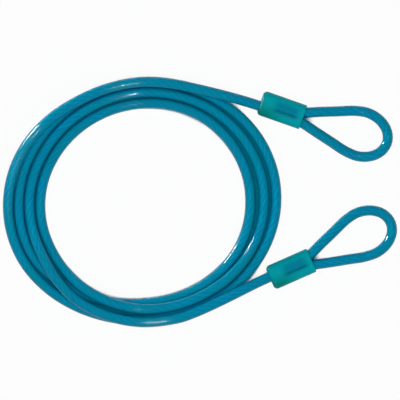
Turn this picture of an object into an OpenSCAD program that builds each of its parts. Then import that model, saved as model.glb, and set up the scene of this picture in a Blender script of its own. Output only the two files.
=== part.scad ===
// Double-eye security cable for a bicycle: a steel wire rope in an extruded vinyl jacket, laid in a
// loose oval coil. Each end is turned back into an eye, crimped in a ferrule and covered by a sleeve.
// Frame: +Z up, the coil lies flat on Z = 0 and the origin is the middle of the whole outline.

/* [Cable] */
// Diameter of the bare wire rope
rope_d = 7.4; // [6:0.1:9]
// Wall of the vinyl jacket over the rope
jacket_wall = 1.2; // [0.8:0.1:1.8]
// Clearance between the rope and the jacket
jacket_fit = 0.1; // [0.05:0.05:0.2]

/* [Coil] */
// Outside width of the coil, along X
coil_w = 268; // [255:1:275]
// Outside depth of the coil, along Y
coil_h = 240; // [232:1:246]
// Space left between neighbouring turns
turn_gap = 0.3; // [0.2:0.05:0.6]

/* [Ends] */
// Upper sleeve's mouth, to the right of the coil
upper_out = 19.9; // [12:0.1:28]
// Upper sleeve's mouth, below the top of the coil
upper_in = 38.8; // [32:0.1:46]
// Turn of the upper end, downwards from straight to the right
upper_turn = 19.4; // [10:0.2:28]
// Lower sleeve's mouth, to the right of the coil
lower_out = 27.9; // [20:0.1:36]
// Lower sleeve's mouth, above the bottom of the coil
lower_in = 64.2; // [56:0.1:72]
// Turn of the lower end, upwards from straight to the right
lower_turn = 23.8; // [14:0.2:32]

/* [Eyes] */
// Length of an eye, from the sleeve to the far side of the cable's centre line
eye_len = 84.2; // [74:0.2:94]
// Half the width of an eye's round end, at the cable's centre line
eye_r = 21.4; // [18:0.2:26]
// Half the length of the round end, which draws out a little towards the sleeve
eye_round = 27; // [22:0.5:32]
// Space between the two legs of an eye where they enter the sleeve
leg_gap = 0.4; // [0.2:0.1:1]

/* [Ferrules] */
// Length of the crimped ferrule
ferrule_len = 25; // [20:1:30]
// Wall of the ferrule round the rope
ferrule_wall = 1.4; // [1:0.1:2]
// Thickness of the ferrule's waist, between its two bores
ferrule_waist = 6.4; // [4:0.2:8]
// Clearance of the rope in the ferrule
crimp_fit = 0.1; // [0.05:0.05:0.2]
// Number of crimps across the ferrule
crimp_count = 3; // [1:1:4]
// Depth of each crimp
crimp_depth = 0.6; // [0.2:0.1:0.9]
// Radius of the die that pressed each crimp
crimp_r = 4; // [2:0.5:6]
// Length of the rope's cut tail that stands out of the ferrule
tail_len = 2; // [1:0.5:4]

/* [Sleeves] */
// Length of the moulded sleeve
sleeve_len = 43.5; // [40:0.5:48]
// Wall of the sleeve
sleeve_wall = 1.6; // [1:0.1:2]
// Thickness of the sleeve's closed end, where the cable enters
sleeve_end = 3; // [2:0.5:5]
// Clearance inside the sleeve and round the cable
sleeve_fit = 0.2; // [0.1:0.05:0.4]
// Rounding of the sleeve's closed end
sleeve_round = 4; // [1:0.25:4.5]
// Rounding of the sleeve's open mouth
mouth_round = 1; // [0.5:0.25:1.2]
// Distance from the sleeve's mouth to the ferrule
ferrule_inset = 4; // [2:0.5:6]

/* [Hidden] */
$fn = 48;

cable_d = rope_d + 2 * (jacket_fit + jacket_wall);
pitch = cable_d + turn_gap;          // centre to centre of two turns side by side
leg_y = (cable_d + leg_gap) / 2;     // each leg's distance from the sleeve's own centre line
bore_r = max(rope_d / 2 + ferrule_wall, cable_d / 2) + sleeve_fit;
sleeve_r = bore_r + sleeve_wall;     // half the sleeve's height, and the height of its centre line
crimp_gap = 0.3;                     // jacket's end to the ferrule's face
cut = 1;                             // how far a cutting tool starts outside the piece
jacket_sides = 12;
rope_sides = 8;

// Each end: mouth of the sleeve [x, y], heading of the eye, where the cable comes in beside the
// sleeve's centre line as a share of its leg's distance, and the way the eye leans from that heading
coil_x = -54.9;                      // middle of the coil, which puts the whole outline about X = 0
coil_right = coil_x + coil_w / 2;
upper_end = [coil_right + upper_out, coil_h / 2 - upper_in, -upper_turn, -0.68, 3.4];
lower_end = [coil_right + lower_out, lower_in - coil_h / 2, lower_turn, 0.3, 2.5];

// The lay of the coil: how far in from the outermost turn the cable lies, in pitches, at every
// lay_step degrees from lay_start, one turn to a row
lay_start = 60;
lay_step = 30;
lay = [
    -0.22, 0, 0.34, 0.16, -0.04, -0.2, -0.02, 0.15, 0.25, 0.24, 0.08, -0.13,
    -0.18, -0.04, 0.43, 0.88, 0.95, 0.8, 1.25, 1.7, 1.97, 2.29, 2.5, 2.26,
    1.86, 1.97, 2.45, 2.9, 2.97, 2.57, 1.8, 1.2, 1.2, 1.24, 1.22, 1.05,
    0.84, 0.96, 1.44, 1.89, 1.95, 1.6, 0.5, -0.02, -0.02, -0.1];
coil_first = 75;
coil_last = 1365;
coil_step = 15;
spread = 6;                          // the cable is too stiff to drop off a turn at once: degrees
turn = 360;                          // one turn of the coil: degrees

// Smooth curve through the lay's values
function lay_at(i) = lay[min(max(i, 0), len(lay) - 1)];
function lane(t) =
    let (s = (t - lay_start) / lay_step, i = floor(s), f = s - i,
         a = lay_at(i - 1), b = lay_at(i), c = lay_at(i + 1), d = lay_at(i + 2))
    b + f * (c - a + f * (2 * a - 5 * b + 4 * c - d + f * (3 * (b - c) + d - a))) / 2;

// The turns that lie beneath the coil at angle t, and how high it rests on them, in pitches
function beneath(t) =
    t < 0.5 * turn ? [t + turn] :
    t > 3.5 * turn ? [t - 2 * turn, t - 3 * turn] :
    t > 2.5 * turn && t < 3 * turn ? [t - turn, t - 2 * turn] : [];
function contact(t) = max([0, for (u = beneath(t)) sqrt(max(0, 1 - pow(lane(t) - lane(u), 2)))]);
function level(t) = max(contact(t - spread), contact(t), contact(t + spread));

function coil_point(t) =
    let (inset = cable_d / 2 + lane(t) * pitch)
    [coil_x + (coil_w / 2 - inset) * cos(t), (coil_h / 2 - inset) * sin(t),
     cable_d / 2 + level(t) * pitch];
function coil_way(t) = let (d = coil_point(t + 1) - coil_point(t - 1)) d / norm(d);

// A point in an end's own frame: u out of the sleeve's mouth, v to the left of it, on its centre line
function at_end(end, u, v, z = sleeve_r) =
    [end[0] + u * cos(end[2]) - v * sin(end[2]), end[1] + u * sin(end[2]) + v * cos(end[2]), z];

// Centre line of an eye, from its left leg round to its right leg: straight legs that open out of
// the sleeve and run at a tangent into a round end, sinking to the floor on the way
eye_arc = 8;
leg_parts = 3;
function eye_points(end) =
    let (c = (eye_len - eye_round) * [cos(end[4]), sin(end[4])],
         left = tangent_to(c, leg_y, 1), right = tangent_to(c, -leg_y, -1),
         sweep = left[0] - right[0])
    concat([at_end(end, -ferrule_inset + crimp_gap, leg_y)],
           [for (i = [0:leg_parts - 1]) on_leg(end, leg_y, left[1], i / leg_parts)],
           [for (i = [0:eye_arc]) let (a = left[0] - sweep * i / eye_arc)
               at_end(end, c[0] + eye_round * cos(a), c[1] + eye_r * sin(a), cable_d / 2)],
           [for (i = [leg_parts - 1:-1:0]) on_leg(end, -leg_y, right[1], i / leg_parts)],
           [at_end(end, -ferrule_inset + crimp_gap, -leg_y)]);
// Angle and point where the line from [0, y] touches the eye's round end, found on a circle:
// the same figure with its lengths along the eye drawn in by squeeze
function tangent_to(c, y, side) =
    let (squeeze = eye_r / eye_round,
         far = norm([c[0] * squeeze, c[1] - y]),
         a = atan2(c[1] - y, c[0] * squeeze) + side * asin(eye_r / far),
         run = sqrt(far * far - eye_r * eye_r))
    [a + side * 90, [run * cos(a) / squeeze, y + run * sin(a)]];
function on_leg(end, y, touch, f) =
    at_end(end, touch[0] * f, y + (touch[1] - y) * f,
           sleeve_r + (cable_d / 2 - sleeve_r) * f);

// Centre line inside a sleeve, from the ferrule back to where the cable enters: it swings over
// from the leg to the hole by way of bends at [share of the way back, share of the way over]
shift_len = sleeve_len - sleeve_end - ferrule_inset - ferrule_len;
shift_bends = [[0.3, 0.12], [0.8, 0.88]];
function hole_y(end) = end[3] * leg_y;
function entry_points(end) =
    let (inner = -ferrule_inset - ferrule_len, y = sign(end[3]) * leg_y)
    concat([at_end(end, inner - crimp_gap, y)],
           [for (b = shift_bends)
               at_end(end, inner - shift_len * b[0], y + (hole_y(end) - y) * b[1])],
           [at_end(end, -sleeve_len, hole_y(end))]);
function reversed(list) = [for (i = [len(list) - 1:-1:0]) list[i]];

// Centre line of a lead, from a sleeve's hole to the coil at angle t: it leaves the hole along the
// sleeve and runs into the coil along its turn, whose way there is along (1) or against (-1) it,
// and climbs onto the turns that it crosses
lead_parts = 6;
lead_pull = 0.25;                    // how far it keeps to each of the two ways, of its length
lead_climb = 0.5;                    // share of its length in which it climbs
function lead_points(end, t, way) =
    let (a = at_end(end, -sleeve_len, hole_y(end)), d = coil_point(t),
         pull = lead_pull * norm(d - a),
         b = a - pull * [cos(end[2]), sin(end[2]), 0], c = d + way * pull * coil_way(t))
    [for (i = [1:lead_parts - 1])
        let (f = i / lead_parts, g = 1 - f,
             p = pow(g, 3) * a + 3 * g * g * f * b + 3 * g * f * f * c + pow(f, 3) * d,
             risen = (1 - cos(180 * min(1, f / lead_climb))) / 2)
        [p[0], p[1], a[2] + (d[2] - a[2]) * risen]];

main_route = concat(entry_points(upper_end), lead_points(upper_end, coil_first, -1),
                    [for (t = [coil_first:coil_step:coil_last]) coil_point(t)],
                    reversed(lead_points(lower_end, coil_last, 1)), reversed(entry_points(lower_end)));
tail_u = -ferrule_inset - ferrule_len - tail_len;
rope_route = concat([at_end(upper_end, tail_u, leg_y)], eye_points(upper_end), main_route,
                    eye_points(lower_end), [at_end(lower_end, tail_u, -leg_y)]);

// A tube swept along a route, solid or hollow, with rings square to the route
function along(route, i) =
    let (d = route[min(i + 1, len(route) - 1)] - route[max(i - 1, 0)]) d / norm(d);
function ring(route, i, r, sides) =
    let (t = along(route, i), across = cross(t, [0, 0, 1]), s = across / norm(across), up = cross(s, t))
    [for (k = [0:sides - 1]) route[i] + r * (cos(360 * k / sides) * s + sin(360 * k / sides) * up)];
function skin_faces(rings, sides, first, flip) =
    [for (i = [0:rings - 2], k = [0:sides - 1])
        let (a = first + i * sides + k, b = first + i * sides + (k + 1) % sides)
        each flip ? [[a, b + sides, b], [a, a + sides, b + sides]]
                  : [[a, b, b + sides], [a, b + sides, a + sides]]];
module solid_tube(route, d, sides) {
    rings = len(route);
    last = (rings - 1) * sides;
    polyhedron(
        points = [for (i = [0:rings - 1]) each ring(route, i, d / 2, sides)],
        faces = concat(skin_faces(rings, sides, 0, false),
                       [[for (k = [sides - 1:-1:0]) k]], [[for (k = [0:sides - 1]) last + k]]));
}
module hollow_tube(route, d, bore_d, sides) {
    rings = len(route);
    inner = rings * sides;
    last = (rings - 1) * sides;
    bore = bore_d / 2 / cos(180 / sides);
    polyhedron(
        points = concat([for (i = [0:rings - 1]) each ring(route, i, d / 2, sides)],
                        [for (i = [0:rings - 1]) each ring(route, i, bore, sides)]),
        faces = concat(skin_faces(rings, sides, 0, false), skin_faces(rings, sides, inner, true),
                       [for (k = [0:sides - 1]) let (n = (k + 1) % sides)
                           each [[k, inner + k, inner + n], [k, inner + n, n],
                                 [last + k, last + n, inner + last + n],
                                 [last + k, inner + last + n, inner + last + k]]]));
}

// Places a piece that is modelled along its own +X, with the sleeve's mouth at X = 0
module at_mouth(end) {
    translate([end[0], end[1], sleeve_r]) rotate([0, 0, end[2]]) children();
}
// Two round bars beside each other along X, joined by a web: an oval bar if the web is as high
module double_bar(x0, length, r, web_h) {
    for (y = [-leg_y, leg_y])
        translate([x0, y, 0]) rotate([0, 90, 0]) cylinder(r = r, h = length);
    translate([x0, -leg_y, -web_h / 2]) cube([length, 2 * leg_y, web_h]);
}
// Outline of half the sleeve from its axis, rounded at the closed end and at the mouth
module sleeve_profile() {
    translate([0, -sleeve_len + sleeve_round]) square([sleeve_r, sleeve_len - sleeve_round - mouth_round]);
    translate([0, -sleeve_len]) square([sleeve_r - sleeve_round, sleeve_len]);
    translate([0, -mouth_round]) square([sleeve_r - mouth_round, mouth_round]);
    intersection() {
        translate([sleeve_r - sleeve_round, sleeve_round - sleeve_len]) circle(sleeve_round);
        translate([sleeve_r - sleeve_round, -sleeve_len]) square(sleeve_round);
    }
    intersection() {
        translate([sleeve_r - mouth_round, -mouth_round]) circle(mouth_round);
        translate([sleeve_r - mouth_round, -mouth_round]) square(mouth_round);
    }
}
module sleeve_body() {
    for (y = [-leg_y, leg_y])
        translate([0, y, 0]) rotate([0, 90, 0]) rotate_extrude() sleeve_profile();
    translate([0, -leg_y, 0]) rotate([-90, 0, 0]) rotate([0, 0, -90])
        linear_extrude(2 * leg_y) {
            sleeve_profile();
            mirror([1, 0, 0]) sleeve_profile();
        }
}

module sleeve(end) {
    difference() {
        sleeve_body();
        double_bar(-sleeve_len + sleeve_end, sleeve_len, bore_r, 2 * bore_r);
        translate([-sleeve_len - cut, hole_y(end), 0]) rotate([0, 90, 0])
            cylinder(d = cable_d + 2 * sleeve_fit, h = sleeve_end + 2 * cut);
    }
}
module ferrule() {
    r = rope_d / 2 + ferrule_wall;
    x0 = -ferrule_inset - ferrule_len;
    spacing = ferrule_len / (crimp_count + 1);
    difference() {
        double_bar(x0, ferrule_len, r, ferrule_waist);
        for (y = [-leg_y, leg_y])
            translate([x0 - cut, y, 0]) rotate([0, 90, 0])
                cylinder(d = rope_d + 2 * crimp_fit, h = ferrule_len + 2 * cut);
        for (i = [1:crimp_count], side = [-1, 1])
            translate([x0 + i * spacing, 0, side * (r + crimp_r - crimp_depth)]) rotate([90, 0, 0])
                cylinder(r = crimp_r, h = 4 * r + 2 * leg_y, center = true);
    }
}

module wire_rope() { color("silver") solid_tube(rope_route, rope_d, rope_sides); }
module main_jacket() {
    color("steelblue") hollow_tube(main_route, cable_d, rope_d + 2 * jacket_fit, jacket_sides);
}
module eye_jacket(end) {
    color("steelblue") hollow_tube(eye_points(end), cable_d, rope_d + 2 * jacket_fit, jacket_sides);
}
module upper_eye_jacket() { eye_jacket(upper_end); }
module lower_eye_jacket() { eye_jacket(lower_end); }
module upper_ferrule() { color("lightgray") at_mouth(upper_end) ferrule(); }
module lower_ferrule() { color("lightgray") at_mouth(lower_end) ferrule(); }
module upper_sleeve() { color("darkcyan") at_mouth(upper_end) sleeve(upper_end); }
module lower_sleeve() { color("darkcyan") at_mouth(lower_end) sleeve(lower_end); }

wire_rope();
main_jacket();
upper_eye_jacket();
lower_eye_jacket();
upper_ferrule();
lower_ferrule();
upper_sleeve();
lower_sleeve();
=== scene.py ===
import math

import bpy
import numpy as np
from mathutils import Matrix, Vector


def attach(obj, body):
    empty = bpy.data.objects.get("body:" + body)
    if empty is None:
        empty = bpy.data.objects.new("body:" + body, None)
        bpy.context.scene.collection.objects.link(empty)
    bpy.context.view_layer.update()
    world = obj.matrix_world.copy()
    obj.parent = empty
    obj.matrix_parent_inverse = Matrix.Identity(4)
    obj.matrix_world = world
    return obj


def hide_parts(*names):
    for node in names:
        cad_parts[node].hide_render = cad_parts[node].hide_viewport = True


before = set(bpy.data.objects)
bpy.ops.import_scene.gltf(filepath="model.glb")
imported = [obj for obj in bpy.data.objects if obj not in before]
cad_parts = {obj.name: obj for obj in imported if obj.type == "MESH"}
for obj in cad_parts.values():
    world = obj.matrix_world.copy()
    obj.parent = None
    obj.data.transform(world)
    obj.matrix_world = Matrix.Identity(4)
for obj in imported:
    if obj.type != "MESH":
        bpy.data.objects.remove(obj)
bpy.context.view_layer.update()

# ---- Table and view ---------------------------------------------------------------
# The cable lies on a white table and is seen from straight above. A small lamp beside the
# lens and a low one at the upper left give the jacket its glints, and soft light the rest.
view_width = 0.384
view_y = 0.00192
lens = 600.0
sensor = 36.0
eye_level = 0.007  # the view is view_width wide at this height
room_light = 0.08

camera = bpy.data.objects.new("camera", bpy.data.cameras.new("camera"))
camera.data.lens = lens
camera.data.sensor_width = sensor
camera.location = (0.0, view_y, eye_level + view_width / sensor * lens)
camera.data.clip_end = 40.0
bpy.context.scene.collection.objects.link(camera)
bpy.context.scene.camera = camera
bpy.context.scene.view_settings.view_transform = "Standard"


def linear(colour):
    """An sRGB hex colour as the linear numbers that a shader takes."""
    channels = [int(colour[i : i + 2], 16) / 255 for i in (1, 3, 5)]
    return [c / 12.92 if c <= 0.04045 else ((c + 0.055) / 1.055) ** 2.4 for c in channels] + [1.0]


def add(tree, kind, inputs=None, **settings):
    """A new node of that kind with its settings. Inputs are set to values or linked to sockets."""
    made = tree.nodes.new(kind)
    for name, value in settings.items():
        setattr(made, name, value)
    for name, value in (inputs or {}).items():
        if isinstance(value, bpy.types.NodeSocket):
            tree.links.new(value, made.inputs[name])
        else:
            made.inputs[name].default_value = value
    return made


def material(name):
    """An empty node material and its output node."""
    made = bpy.data.materials.new(name)
    made.use_nodes = True
    made.node_tree.nodes.clear()
    return made, made.node_tree, add(made.node_tree, "ShaderNodeOutputMaterial")


def lamp(name, size, strength, place, glint=False):
    """A lamp aimed at the middle of the table. A soft one adds its strength to the brightness of
    white paper that faces it. A glint lamp shows only in what is polished."""
    data = bpy.data.lights.new(name, "AREA")
    data.shape = "RECTANGLE"
    data.size, data.size_y = size
    data.energy = strength * math.pi**2 * Vector(place).length ** 2
    made = bpy.data.objects.new(name, data)
    made.location = place
    made.rotation_euler = (-Vector(place)).to_track_quat("-Z", "Y").to_euler()
    made.visible_glossy = glint
    made.visible_diffuse = not glint
    made.visible_transmission = False
    made.visible_camera = False
    bpy.context.scene.collection.objects.link(made)


lamp("top_softbox", (1.0, 1.0), 0.68, (-0.1, 0.0, 2.2))
lamp("left_softbox", (1.0, 1.0), 0.13, (-1.5, -0.3, 1.4))
lamp("right_softbox", (1.0, 1.0), 0.17, (1.5, -0.9, 1.4))
lamp("lens_lamp", (0.08, 0.2), 0.17, (0.08, -1.12, 4.5), glint=True)
lamp("low_strip", (0.30, 0.16), 2.2, (-1.033, 0.645, 0.22), glint=True)

world = bpy.data.worlds.new("room")
world.use_nodes = True
world.node_tree.nodes["Background"].inputs["Color"].default_value = (1.0, 1.0, 1.0, 1.0)
world.node_tree.nodes["Background"].inputs["Strength"].default_value = room_light
bpy.context.scene.world = world

bpy.ops.object.select_all(action="DESELECT")
bpy.ops.mesh.primitive_plane_add(size=8.0, location=(0.0, 0.0, -0.0001))
table = bpy.context.object
table.name = "table"

# White matt card is even and bright, with a soft shadow close to the cable. In the narrow gaps
# between the turns, and more so within the coil's band, its colour is painted a dark blue-green
# shade where the cable screens it from the sky (ambient occlusion).
shadow_reach = 0.015
coil_middle, coil_halves = (-0.0549, 0.0, 0.0), (0.134, 0.120, 1.0)
band_inside, band_outside = (0.71, 0.75), (0.99, 0.95)  # soft edges, as shares of the coil's size
band_shade = -0.26
gap_closed, gap_open = 0.25, 0.31
glow_share = 0.9
paper, tree, out = material("white matt table")
near = add(tree, "ShaderNodeAmbientOcclusion", {"Distance": shadow_reach}, samples=16)
where = add(tree, "ShaderNodeTexCoord")
centred = add(
    tree,
    "ShaderNodeMapping",
    {"Vector": where.outputs["Object"], "Location": coil_middle, "Scale": coil_halves},
    vector_type="TEXTURE",
)
from_middle = add(tree, "ShaderNodeVectorMath", {0: centred.outputs[0]}, operation="LENGTH")
inner, outer = (
    add(
        tree,
        "ShaderNodeMapRange",
        {"Value": from_middle.outputs["Value"], "From Min": start, "From Max": full},
    )
    for start, full in (band_inside, band_outside)
)
between = add(
    tree, "ShaderNodeMath", {0: inner.outputs[0], 1: outer.outputs[0]}, operation="MULTIPLY"
)
open_sky = add(
    tree,
    "ShaderNodeMath",
    {0: between.outputs[0], 1: band_shade, 2: near.outputs["AO"]},
    operation="MULTIPLY_ADD",
)
bare = add(
    tree,
    "ShaderNodeMapRange",
    {
        "Value": open_sky.outputs[0],
        "From Min": gap_closed,
        "From Max": gap_open,
        "To Max": glow_share,
    },
    interpolation_type="SMOOTHSTEP",
)
# Painted shade: the card runs from dark blue-green in the sheltered gaps to white in the open.
painted_gap_shade = add(tree, "ShaderNodeValToRGB", {"Fac": bare.outputs[0]})
painted_gap_shade.color_ramp.elements[0].color = linear("#007486")
painted_gap_shade.color_ramp.elements[1].color = linear("#FBFBFB")
diffuse = add(tree, "ShaderNodeBsdfDiffuse", {"Color": painted_gap_shade.outputs[0]})
glow = add(tree, "ShaderNodeEmission", {"Strength": 1.0})
path = add(tree, "ShaderNodeLightPath")
rays = path.outputs["Is Camera Ray"]
for other in ("Is Glossy Ray", "Is Transmission Ray"):
    rays = add(
        tree, "ShaderNodeMath", {0: rays, 1: path.outputs[other]}, operation="MAXIMUM"
    ).outputs[0]
seen = add(tree, "ShaderNodeMath", {0: rays, 1: bare.outputs[0]}, operation="MULTIPLY")
mix = add(
    tree, "ShaderNodeMixShader", {0: seen.outputs[0], 1: diffuse.outputs[0], 2: glow.outputs[0]}
)
tree.links.new(mix.outputs[0], out.inputs["Surface"])
table.data.materials.append(paper)

# ---- Wire rope --------------------------------------------------------------------
# The core of the cable is a galvanised steel rope: six strands laid round a seventh, each
# of seven wires. It lies in a coil, and both its ends fold back into a crimped ferrule.
rope_d = 0.0074
cable_d = 0.010  # over the jacket
pitch = 0.0103  # from one turn to the next beside it
coil_x = -0.0549
coil_w = 0.268
coil_h = 0.240
sleeve_len = 0.0435
sleeve_z = 0.0069
leg_y = 0.0052  # each leg's distance from the sleeve's middle line
eye_len = 0.0842
eye_r = 0.0214
eye_round = 0.027
ferrule_inset = 0.004
ferrule_len = 0.025
crimp_gap = 0.0003
tail_len = 0.002
sleeve_end = 0.003
# Each end: the sleeve's mouth in x and y, the way it points in degrees, the side on which the
# cable enters, and how many degrees the eye leans
upper_end = (0.099, 0.0812, -19.4, -0.68, 3.4)
lower_end = (0.107, -0.0558, 23.8, 0.3, 2.5)
# How many cable widths the cable lies in from the coil's edge, at every 30 degrees along it
lay = [
    -0.22, 0, 0.34, 0.16, -0.04, -0.2, -0.02, 0.15, 0.25, 0.24, 0.08, -0.13,
    -0.18, -0.04, 0.43, 0.88, 0.95, 0.8, 1.25, 1.7, 1.97, 2.29, 2.5, 2.26,
    1.86, 1.97, 2.45, 2.9, 2.97, 2.57, 1.8, 1.2, 1.2, 1.24, 1.22, 1.05,
    0.84, 0.96, 1.44, 1.89, 1.95, 1.6, 0.5, -0.02, -0.02, -0.1,
]
lay_start, lay_step = 60, 30
first_angle, last_angle, angle_step = 75, 1365, 15
climb_reach = 6  # degrees before and after a crossing over which the cable is held up
leg_parts, round_points = 3, 9  # of an eye's middle line
shift_bends = [(0.3, 0.12), (0.8, 0.88)]  # inside a sleeve, shares of the way back and over
lead_parts = 6  # from a sleeve's hole to the coil
lead_pull = 0.25  # how far each end of a lead runs straight on, as a share of the lead
lead_climb = 0.5  # the share of a lead in which it climbs


def lane(t):
    """How many cable widths the turn lies in from the coil's edge, at t degrees along it."""
    s = (t - lay_start) / lay_step
    i = math.floor(s)
    f = s - i
    a, b, c, d = (lay[min(max(i + k, 0), len(lay) - 1)] for k in (-1, 0, 1, 2))
    return b + f * (c - a + f * (2 * a - 5 * b + 4 * c - d + f * (3 * (b - c) + d - a))) / 2


def contact(t):
    """How many layers up the cable lies there, on the turns beneath it."""
    if t < 180:
        beneath = [t + 360]
    elif t > 1260:
        beneath = [t - 720, t - 1080]
    elif 900 < t < 1080:
        beneath = [t - 360, t - 720]
    else:
        beneath = []
    return max([0.0] + [math.sqrt(max(0.0, 1 - (lane(t) - lane(u)) ** 2)) for u in beneath])


def coil_point(t):
    """A point on the cable's middle line, at t degrees along the coil."""
    inset = cable_d / 2 + lane(t) * pitch
    level = max(contact(t - climb_reach), contact(t), contact(t + climb_reach))
    a = math.radians(t)
    return np.array([
        coil_x + (coil_w / 2 - inset) * math.cos(a),
        (coil_h / 2 - inset) * math.sin(a),
        cable_d / 2 + level * pitch,
    ])


def at_end(end, u, v, z=sleeve_z):
    """A point u along the end's own axis from the sleeve's mouth, and v across it."""
    c, s = math.cos(math.radians(end[2])), math.sin(math.radians(end[2]))
    return np.array([end[0] + u * c - v * s, end[1] + u * s + v * c, z])


def eye_points(end):
    """The middle line of an eye from its left leg round to its right leg. It sinks to the table."""
    lean = math.radians(end[4])
    cu, cv = (eye_len - eye_round) * math.cos(lean), (eye_len - eye_round) * math.sin(lean)
    squeeze = eye_r / eye_round

    def touch(side):
        """The angle and the place where a straight leg meets the eye's round end."""
        y = side * leg_y
        away = math.hypot(cu * squeeze, cv - y)
        a = math.atan2(cv - y, cu * squeeze) + side * math.asin(eye_r / away)
        length = math.sqrt(away**2 - eye_r**2)
        return a + side * math.pi / 2, length * math.cos(a) / squeeze, y + length * math.sin(a)

    def on_leg(side, f):
        """The point at that share of a straight leg, which sinks from the sleeve to the table."""
        _, u, v = touch(side)
        y = side * leg_y
        return at_end(end, u * f, y + (v - y) * f, sleeve_z + (cable_d / 2 - sleeve_z) * f)

    return (
        [at_end(end, -ferrule_inset + crimp_gap, leg_y)]
        + [on_leg(1, i / leg_parts) for i in range(leg_parts)]
        + [
            at_end(end, cu + eye_round * math.cos(a), cv + eye_r * math.sin(a), cable_d / 2)
            for a in np.linspace(touch(1)[0], touch(-1)[0], round_points)
        ]
        + [on_leg(-1, i / leg_parts) for i in reversed(range(leg_parts))]
        + [at_end(end, -ferrule_inset + crimp_gap, -leg_y)]
    )


def entry_points(end):
    """The middle line inside a sleeve, from the ferrule back to the hole for the cable."""
    shift = sleeve_len - sleeve_end - ferrule_inset - ferrule_len
    inner, hole, y = -ferrule_inset - ferrule_len, end[3] * leg_y, math.copysign(leg_y, end[3])
    return (
        [at_end(end, inner - crimp_gap, y)]
        + [at_end(end, inner - shift * back, y + (hole - y) * over) for back, over in shift_bends]
        + [at_end(end, -sleeve_len, hole)]
    )


def lead_points(end, t, way):
    """The middle line from a sleeve to the coil at t degrees, climbing onto what it crosses."""
    a, d = at_end(end, -sleeve_len, end[3] * leg_y), coil_point(t)
    along = coil_point(t + 1) - coil_point(t - 1)
    pull = lead_pull * np.linalg.norm(d - a)
    b = 2 * a - at_end(end, pull - sleeve_len, end[3] * leg_y)
    c = d + way * pull * along / np.linalg.norm(along)
    made = []
    for f in np.arange(1, lead_parts) / lead_parts:
        p = (1 - f) ** 3 * a + 3 * (1 - f) ** 2 * f * b + 3 * (1 - f) * f**2 * c + f**3 * d
        p[2] = a[2] + (d[2] - a[2]) * (1 - math.cos(math.pi * min(1, f / lead_climb))) / 2
        made.append(p)
    return made


upper_eye, lower_eye = eye_points(upper_end), eye_points(lower_end)
main_run = (
    entry_points(upper_end)
    + lead_points(upper_end, first_angle, -1)
    + [coil_point(t) for t in range(first_angle, last_angle + 1, angle_step)]
    + lead_points(lower_end, last_angle, 1)[::-1]
    + entry_points(lower_end)[::-1]
)
tail = -ferrule_inset - ferrule_len - tail_len
knots = np.array(
    [at_end(upper_end, tail, leg_y)]
    + upper_eye
    + main_run
    + lower_eye
    + [at_end(lower_end, tail, -leg_y)]
)


def smooth_line(points, pieces):
    """A smooth curve through the points, in that many pieces from each to the next."""
    padded = np.vstack([2 * points[0] - points[1], points, 2 * points[-1] - points[-2]])
    made = []
    for p0, p1, p2, p3 in zip(padded, padded[1:], padded[2:], padded[3:]):
        t1 = np.linalg.norm(p1 - p0) ** 0.5
        t2 = t1 + np.linalg.norm(p2 - p1) ** 0.5
        t3 = t2 + np.linalg.norm(p3 - p2) ** 0.5
        for t in t1 + (t2 - t1) * np.arange(pieces) / pieces:
            a = p0 + (p1 - p0) * t / t1
            b = p1 + (p2 - p1) * (t - t1) / (t2 - t1)
            c = p2 + (p3 - p2) * (t - t2) / (t3 - t2)
            ab = a + (b - a) * t / t2
            bc = b + (c - b) * (t - t1) / (t3 - t1)
            made.append(ab + (bc - ab) * (t - t1) / (t2 - t1))
    return np.array(made + [points[-1]])


parts = 12  # from each knot to the next
line = smooth_line(knots, parts)
line[:, 2] = np.maximum(line[:, 2], cable_d / 2)
run = np.concatenate([[0.0], np.cumsum(np.linalg.norm(np.diff(line, axis=0), axis=1))])
first_of = {
    "upper_eye": 1,
    "main": 1 + len(upper_eye),
    "lower_eye": 1 + len(upper_eye) + len(main_run),
}
span = {
    name: (run[parts * first], run[parts * (first + len(points) - 1)])
    for (name, first), points in zip(first_of.items(), (upper_eye, main_run, lower_eye))
}

# A pair of directions across the line that is carried along it without turning about it
ahead = np.gradient(line, axis=0)
ahead /= np.linalg.norm(ahead, axis=1)[:, None]
across = [np.cross((0.0, 0.0, 1.0), ahead[0])]
for way in ahead[1:]:
    step = across[-1] - way * (across[-1] @ way)
    across.append(step / np.linalg.norm(step))
across = np.array(across)


def at_run(s):
    """The places on the line at those distances along it, and the two directions across it."""
    place, way, side = (
        np.stack([np.interp(s, run, values[:, k]) for k in range(3)], axis=1)
        for values in (line, ahead, across)
    )
    way /= np.linalg.norm(way, axis=1)[:, None]
    side -= way * (side * way).sum(1)[:, None]
    side /= np.linalg.norm(side, axis=1)[:, None]
    return place, side, np.cross(way, side)


def skin(name, tubes):
    """One mesh of closed tubes, each (rings, run). Its UV is metres along and turns round."""
    places, faces, uvs = [], [], []
    for rings, s in tubes:
        n, m, first = len(rings), len(rings[0]), len(places)
        places += rings.reshape(-1, 3).tolist()
        for i in range(n - 1):
            for j in range(m):
                k = (j + 1) % m
                a, b = first + i * m, first + (i + 1) * m
                faces.append((a + j, a + k, b + k, b + j))
                uvs += [(s[i], j / m), (s[i], (j + 1) / m)]
                uvs += [(s[i + 1], (j + 1) / m), (s[i + 1], j / m)]
        faces.append([first + j for j in reversed(range(m))])
        faces.append([first + (n - 1) * m + j for j in range(m)])
        uvs += [(s[0], 0.0)] * m + [(s[-1], 0.0)] * m
    mesh = bpy.data.meshes.new(name)
    mesh.from_pydata(places, [], faces)
    mesh.uv_layers.new(name="along").data.foreach_set("uv", np.array(uvs, np.float32).ravel())
    mesh.shade_smooth()
    made = bpy.data.objects.new(name, mesh)
    bpy.context.scene.collection.objects.link(made)
    return made


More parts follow.
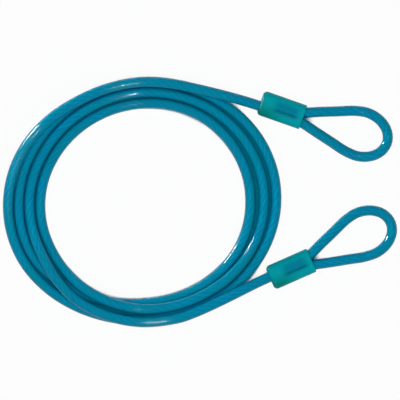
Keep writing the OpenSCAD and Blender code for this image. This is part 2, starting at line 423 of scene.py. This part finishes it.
outer_strands = 6
rope_lay = 0.052  # the length in which a strand goes once round the rope
strand_r = rope_d / 6
strand_sides = 8
rope_rings = 760
s = np.linspace(0.0, run[-1], rope_rings)
middle, side, up = at_run(s)
tubes = []
for k in range(outer_strands + 1):  # the last is the straight strand in the middle
    away = 0.0 if k == outer_strands else 2 * strand_r
    turn = 2 * math.pi * (k / outer_strands + s / rope_lay)
    heart = middle + away * (np.cos(turn)[:, None] * side + np.sin(turn)[:, None] * up)
    rings = []
    for j in range(strand_sides):
        a = 2 * math.pi * j / strand_sides + turn
        rings.append(heart + strand_r * (np.cos(a)[:, None] * side + np.sin(a)[:, None] * up))
    tubes.append((np.stack(rings, axis=1), s))
rope = skin("wire_rope_strands", tubes)
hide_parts("wire_rope")
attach(rope, "root")

# Zinc leaves the drawn wires pale grey and half shiny. The wires of a strand show as fine ridges
# that wind round it, with dark lines of painted shade between them.
wire_lay = 0.018
outer_wires = 6
wire_height = 0.0003
steel, tree, out = material("galvanised steel wire, stranded")
uv = add(tree, "ShaderNodeUVMap", uv_map="along")
split = add(tree, "ShaderNodeSeparateXYZ", {0: uv.outputs[0]})
wound = add(
    tree, "ShaderNodeMath", {0: split.outputs["X"], 1: 1 / wire_lay}, operation="MULTIPLY"
)
round_it = add(
    tree, "ShaderNodeMath", {0: split.outputs["Y"], 1: wound.outputs[0]}, operation="SUBTRACT"
)
wires = add(
    tree, "ShaderNodeMath", {0: round_it.outputs[0], 1: outer_wires * math.pi}, operation="MULTIPLY"
)
wave = add(tree, "ShaderNodeMath", {0: wires.outputs[0]}, operation="SINE")
ridge = add(tree, "ShaderNodeMath", {0: wave.outputs[0]}, operation="ABSOLUTE")
# Painted shade: the grey goes dark in the grooves between the wires and pale on their crests.
wire_grey_and_groove_shade = add(tree, "ShaderNodeValToRGB", {"Fac": ridge.outputs[0]})
wire_grey_and_groove_shade.color_ramp.elements[0].position = 0.05
wire_grey_and_groove_shade.color_ramp.elements[0].color = linear("#7E8487")
wire_grey_and_groove_shade.color_ramp.elements[1].position = 0.75
wire_grey_and_groove_shade.color_ramp.elements[1].color = linear("#E2E6E8")
raised = add(
    tree,
    "ShaderNodeBump",
    {"Height": ridge.outputs[0], "Strength": 0.6, "Distance": wire_height},
)
zinc = add(
    tree,
    "ShaderNodeBsdfPrincipled",
    {
        "Base Color": wire_grey_and_groove_shade.outputs[0],
        "Metallic": 0.35,
        "Roughness": 0.45,
        "Normal": raised.outputs[0],
    },
)
tree.links.new(zinc.outputs[0], out.inputs["Surface"])
rope.data.materials.append(steel)

# ---- Jacket -----------------------------------------------------------------------
# Clear blue PVC is extruded tight over the rope, so the strands show through it and press
# it out a little. It is stripped where the ferrules grip, which leaves three lengths.
swell = 0.00003
jacket_sides = 24
ring_step = 0.003

# Clear PVC is smooth and looks wet: it has sharp glints, which slight ripples along it break up.
# The strands show through it as soft slanting stripes, with painted shade in the valleys between
# them and a painted highlight over their crowns, and its dye drifts from blue to green-blue. Where
# other turns or the table lie close, its colour is painted darker as shade.
ripple_step, ripple_height = 0.0034, 0.000007
stripe_grain, stripe_drift = (45.0, 9.0, 1.0), 3.5
dye_grain = (16.0, 2.0, 1.0)
dye_from, dye_full, dye_share = 0.4, 0.7, 0.6
gap_reach = 0.008
shade_from, shade_full, shade_share = 0.75, 0.25, 0.58
vinyl, tree, out = material("clear blue PVC, extruded over wire rope")
uv = add(tree, "ShaderNodeUVMap", uv_map="along")
split = add(tree, "ShaderNodeSeparateXYZ", {0: uv.outputs[0]})
beats = add(
    tree,
    "ShaderNodeMath",
    {0: split.outputs["X"], 1: 2 * math.pi / ripple_step},
    operation="MULTIPLY",
)
beat = add(tree, "ShaderNodeMath", {0: beats.outputs[0]}, operation="SINE")
ripple = add(tree, "ShaderNodeBump", {"Height": beat.outputs[0], "Distance": ripple_height})
grain = add(tree, "ShaderNodeMapping", {"Vector": uv.outputs[0], "Scale": stripe_grain})
cloud = add(
    tree, "ShaderNodeTexNoise", {"Vector": grain.outputs[0], "Scale": 1.0, "Detail": 3.0}
)
drift = add(
    tree,
    "ShaderNodeMapRange",
    {"Value": cloud.outputs["Fac"], "To Min": -stripe_drift, "To Max": stripe_drift},
)
turns = add(
    tree,
    "ShaderNodeMath",
    {0: split.outputs["Y"], 1: 2 * math.pi * outer_strands},
    operation="MULTIPLY",
)
moved = add(
    tree, "ShaderNodeMath", {0: turns.outputs[0], 1: drift.outputs[0]}, operation="ADD"
)
crown = add(tree, "ShaderNodeMath", {0: moved.outputs[0]}, operation="COSINE")
deep = add(tree, "ShaderNodeMapRange", {"Value": crown.outputs[0], "From Min": -1.0})
# Painted shade and highlight: darker over the valleys between strands, lighter over their crowns.
strand_stripes_with_painted_light = add(tree, "ShaderNodeValToRGB", {"Fac": deep.outputs[0]})
strand_stripes_with_painted_light.color_ramp.interpolation = "EASE"
strand_stripes_with_painted_light.color_ramp.elements[0].color = linear("#008DB2")
strand_stripes_with_painted_light.color_ramp.elements[1].color = linear("#0098BF")
drawn = add(tree, "ShaderNodeMapping", {"Vector": uv.outputs[0], "Scale": dye_grain})
batch = add(
    tree, "ShaderNodeTexNoise", {"Vector": drawn.outputs[0], "Scale": 1.0, "Detail": 2.0}
)
greener = add(
    tree,
    "ShaderNodeMapRange",
    {
        "Value": batch.outputs["Fac"],
        "From Min": dye_from,
        "From Max": dye_full,
        "To Max": dye_share,
    },
)
dyed = add(
    tree,
    "ShaderNodeMixRGB",
    {"Fac": greener.outputs[0], "Color1": strand_stripes_with_painted_light.outputs[0], "Color2": linear("#0096A8")},
)
# Painted shade: the colour darkens towards #006078 where other turns or the table lie within
# gap_reach.
shelter = add(tree, "ShaderNodeAmbientOcclusion", {"Distance": gap_reach}, samples=8)
shade = add(
    tree,
    "ShaderNodeMapRange",
    {
        "Value": shelter.outputs["AO"],
        "From Min": shade_from,
        "From Max": shade_full,
        "To Max": shade_share,
    },
    interpolation_type="SMOOTHSTEP",
)
dye_and_painted_shade = add(
    tree,
    "ShaderNodeMixRGB",
    {"Fac": shade.outputs[0], "Color1": dyed.outputs[0], "Color2": linear("#006078")},
)
pvc = add(
    tree,
    "ShaderNodeBsdfPrincipled",
    {
        "Base Color": dye_and_painted_shade.outputs[0],
        "Roughness": 0.02,
        "IOR": 1.4,
        "Transmission Weight": 0.4,
        "Specular IOR Level": 0.0,
        "Coat Weight": 0.2,
        "Coat Roughness": 0.02,
        "Coat Normal": ripple.outputs[0],
    },
)
light_in = add(tree, "ShaderNodeBsdfTransparent", {"Color": linear("#00DDFC")})
path = add(tree, "ShaderNodeLightPath")
mix = add(
    tree,
    "ShaderNodeMixShader",
    {0: path.outputs["Is Shadow Ray"], 1: pvc.outputs[0], 2: light_in.outputs[0]},
)
tree.links.new(mix.outputs[0], out.inputs["Surface"])
dye = add(
    tree, "ShaderNodeVolumeAbsorption", {"Color": (0.0, 0.8, 0.7, 1.0), "Density": 60.0}
)
tree.links.new(dye.outputs[0], out.inputs["Volume"])
for name, node in (
    ("main", "main_jacket"),
    ("upper_eye", "upper_eye_jacket"),
    ("lower_eye", "lower_eye_jacket"),
):
    start, end = span[name]
    s = np.linspace(start, end, max(2, round((end - start) / ring_step)))
    middle, side, up = at_run(s)
    rings = []
    for j in range(jacket_sides):
        a = 2 * math.pi * (j / jacket_sides + s / rope_lay)
        r = cable_d / 2 - swell * (1 - math.cos(2 * math.pi * outer_strands * j / jacket_sides)) / 2
        rings.append(middle + r * (np.cos(a)[:, None] * side + np.sin(a)[:, None] * up))
    jacket = skin("vinyl_" + node, [(np.stack(rings, axis=1), s)])
    jacket.data.materials.append(vinyl)
    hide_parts(node)
    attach(jacket, "root")

# ---- Ferrules ---------------------------------------------------------------------
# An aluminium ferrule holds the two legs of each eye side by side. A die has pressed it shut
# with three crimps on each flat side, so that the rope can't slip out.

# Pressed aluminium is pale grey, and scuffed by the die into duller and shinier patches of 1 mm.
scuffs_per_metre = 900.0
shiny, dull = 0.32, 0.5
alloy, tree, out = material("pressed aluminium, dull")
noise = add(tree, "ShaderNodeTexNoise", {"Scale": scuffs_per_metre, "Detail": 3.0})
rough = add(
    tree, "ShaderNodeMapRange", {"Value": noise.outputs["Fac"], "To Min": shiny, "To Max": dull}
)
metal = add(
    tree,
    "ShaderNodeBsdfPrincipled",
    {"Base Color": linear("#C4C7C8"), "Metallic": 1.0, "Roughness": rough.outputs[0]},
)
tree.links.new(metal.outputs[0], out.inputs["Surface"])
for name in ("upper_ferrule", "lower_ferrule"):
    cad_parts[name].data.materials.clear()
    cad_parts[name].data.materials.append(alloy)

# ---- Sleeves ----------------------------------------------------------------------
# A translucent green-blue plastic sleeve is moulded as a flat oval with two rounds and
# pushed over each ferrule, so that no cut wire is left bare.

# Soft PVC lets some light in: it is cloudy and green-blue. Its colour is painted darker and greener
# towards one side and the coil end as shade, darker blue where the ferrule lies under it (the
# ferrule seen through, with painted shade), and with a dark line of painted shade between the
# ferrule's two tubes. Its pattern is laid out in metres along the sleeve from its mouth, u, and
# across it, v.
# Over the ferrule the colour is painted darker blue: the ferrule seen through, with painted shade.
ferrule_starts, ferrule_stops = (-0.034, -0.024), (-0.002, -0.010)
ferrule_v, ferrule_edge = 0.0008, (0.0085, 0.0025)  # its middle, and how far off it fades
# Painted shade: a dark line in the groove between the ferrule's two tubes.
groove_shade_v, groove_shade_edge = -0.0026, (0.0022, 0.0)
# Painted shade: darker and greener towards the -v side and towards the coil end.
shade_side_v, shade_coil_end_u = (0.003, -0.009), (-0.010, -0.040)
clouds_per_metre, cloud_share = 260.0, 0.45
waves_per_metre, wave_height = 110.0, 0.0002
for name, end in (("upper_sleeve", upper_end), ("lower_sleeve", lower_end)):
    teal, tree, out = material("translucent teal PVC, moulded, " + name.split("_")[0])
    where = add(tree, "ShaderNodeTexCoord")
    own = add(
        tree,
        "ShaderNodeMapping",
        {
            "Vector": where.outputs["Object"],
            "Location": (end[0], end[1], 0.0),
            "Rotation": (0.0, 0.0, math.radians(end[2])),
        },
        vector_type="TEXTURE",
    )
    axes = add(tree, "ShaderNodeSeparateXYZ", {0: own.outputs[0]})
    u, v = axes.outputs["X"], axes.outputs["Y"]
    beside = []
    for middle_v in (ferrule_v, groove_shade_v):
        offset = add(tree, "ShaderNodeMath", {0: v, 1: middle_v}, operation="SUBTRACT")
        unsigned = add(tree, "ShaderNodeMath", {0: offset.outputs[0]}, operation="ABSOLUTE")
        beside.append(unsigned.outputs[0])
    within = ((u, ferrule_starts), (u, ferrule_stops))
    colour = linear("#00B0BC")
    for patch, share, edges in (
        ("#007A60", 0.75, ((v, shade_side_v), (u, shade_coil_end_u))),
        ("#007EA4", 0.85, within + ((beside[0], ferrule_edge),)),
        ("#00587C", 0.75, within + ((beside[1], groove_shade_edge),)),
    ):
        for distance, (start, full) in edges:
            edge = add(
                tree,
                "ShaderNodeMapRange",
                {"Value": distance, "From Min": start, "From Max": full},
                interpolation_type="SMOOTHSTEP",
            )
            share = add(
                tree, "ShaderNodeMath", {0: edge.outputs[0], 1: share}, operation="MULTIPLY"
            ).outputs[0]
        colour = add(
            tree, "ShaderNodeMixRGB", {"Fac": share, "Color1": colour, "Color2": linear(patch)}
        ).outputs[0]
    cloud = add(
        tree,
        "ShaderNodeTexNoise",
        {"Vector": own.outputs[0], "Scale": clouds_per_metre, "Detail": 3.0},
    )
    milky = add(
        tree,
        "ShaderNodeMath",
        {0: cloud.outputs["Fac"], 1: cloud_share},
        operation="MULTIPLY",
    )
    clouded = add(
        tree,
        "ShaderNodeMixRGB",
        {"Fac": milky.outputs[0], "Color1": colour, "Color2": linear("#00868E")},
    )
    uneven = add(
        tree,
        "ShaderNodeTexNoise",
        {"Vector": own.outputs[0], "Scale": waves_per_metre, "Detail": 1.0},
    )
    soft = add(
        tree, "ShaderNodeBump", {"Height": uneven.outputs["Fac"], "Distance": wave_height}
    )
    plastic = add(
        tree,
        "ShaderNodeBsdfPrincipled",
        {
            "Base Color": clouded.outputs[0],
            "Roughness": 0.05,
            "IOR": 1.4,
            "Transmission Weight": 0.15,
            "Specular IOR Level": 0.0,
            "Coat Weight": 0.12,
            "Coat Roughness": 0.08,
            "Coat Normal": soft.outputs[0],
        },
    )
    tree.links.new(plastic.outputs[0], out.inputs["Surface"])
    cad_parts[name].data.materials.clear()
    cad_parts[name].data.materials.append(teal)
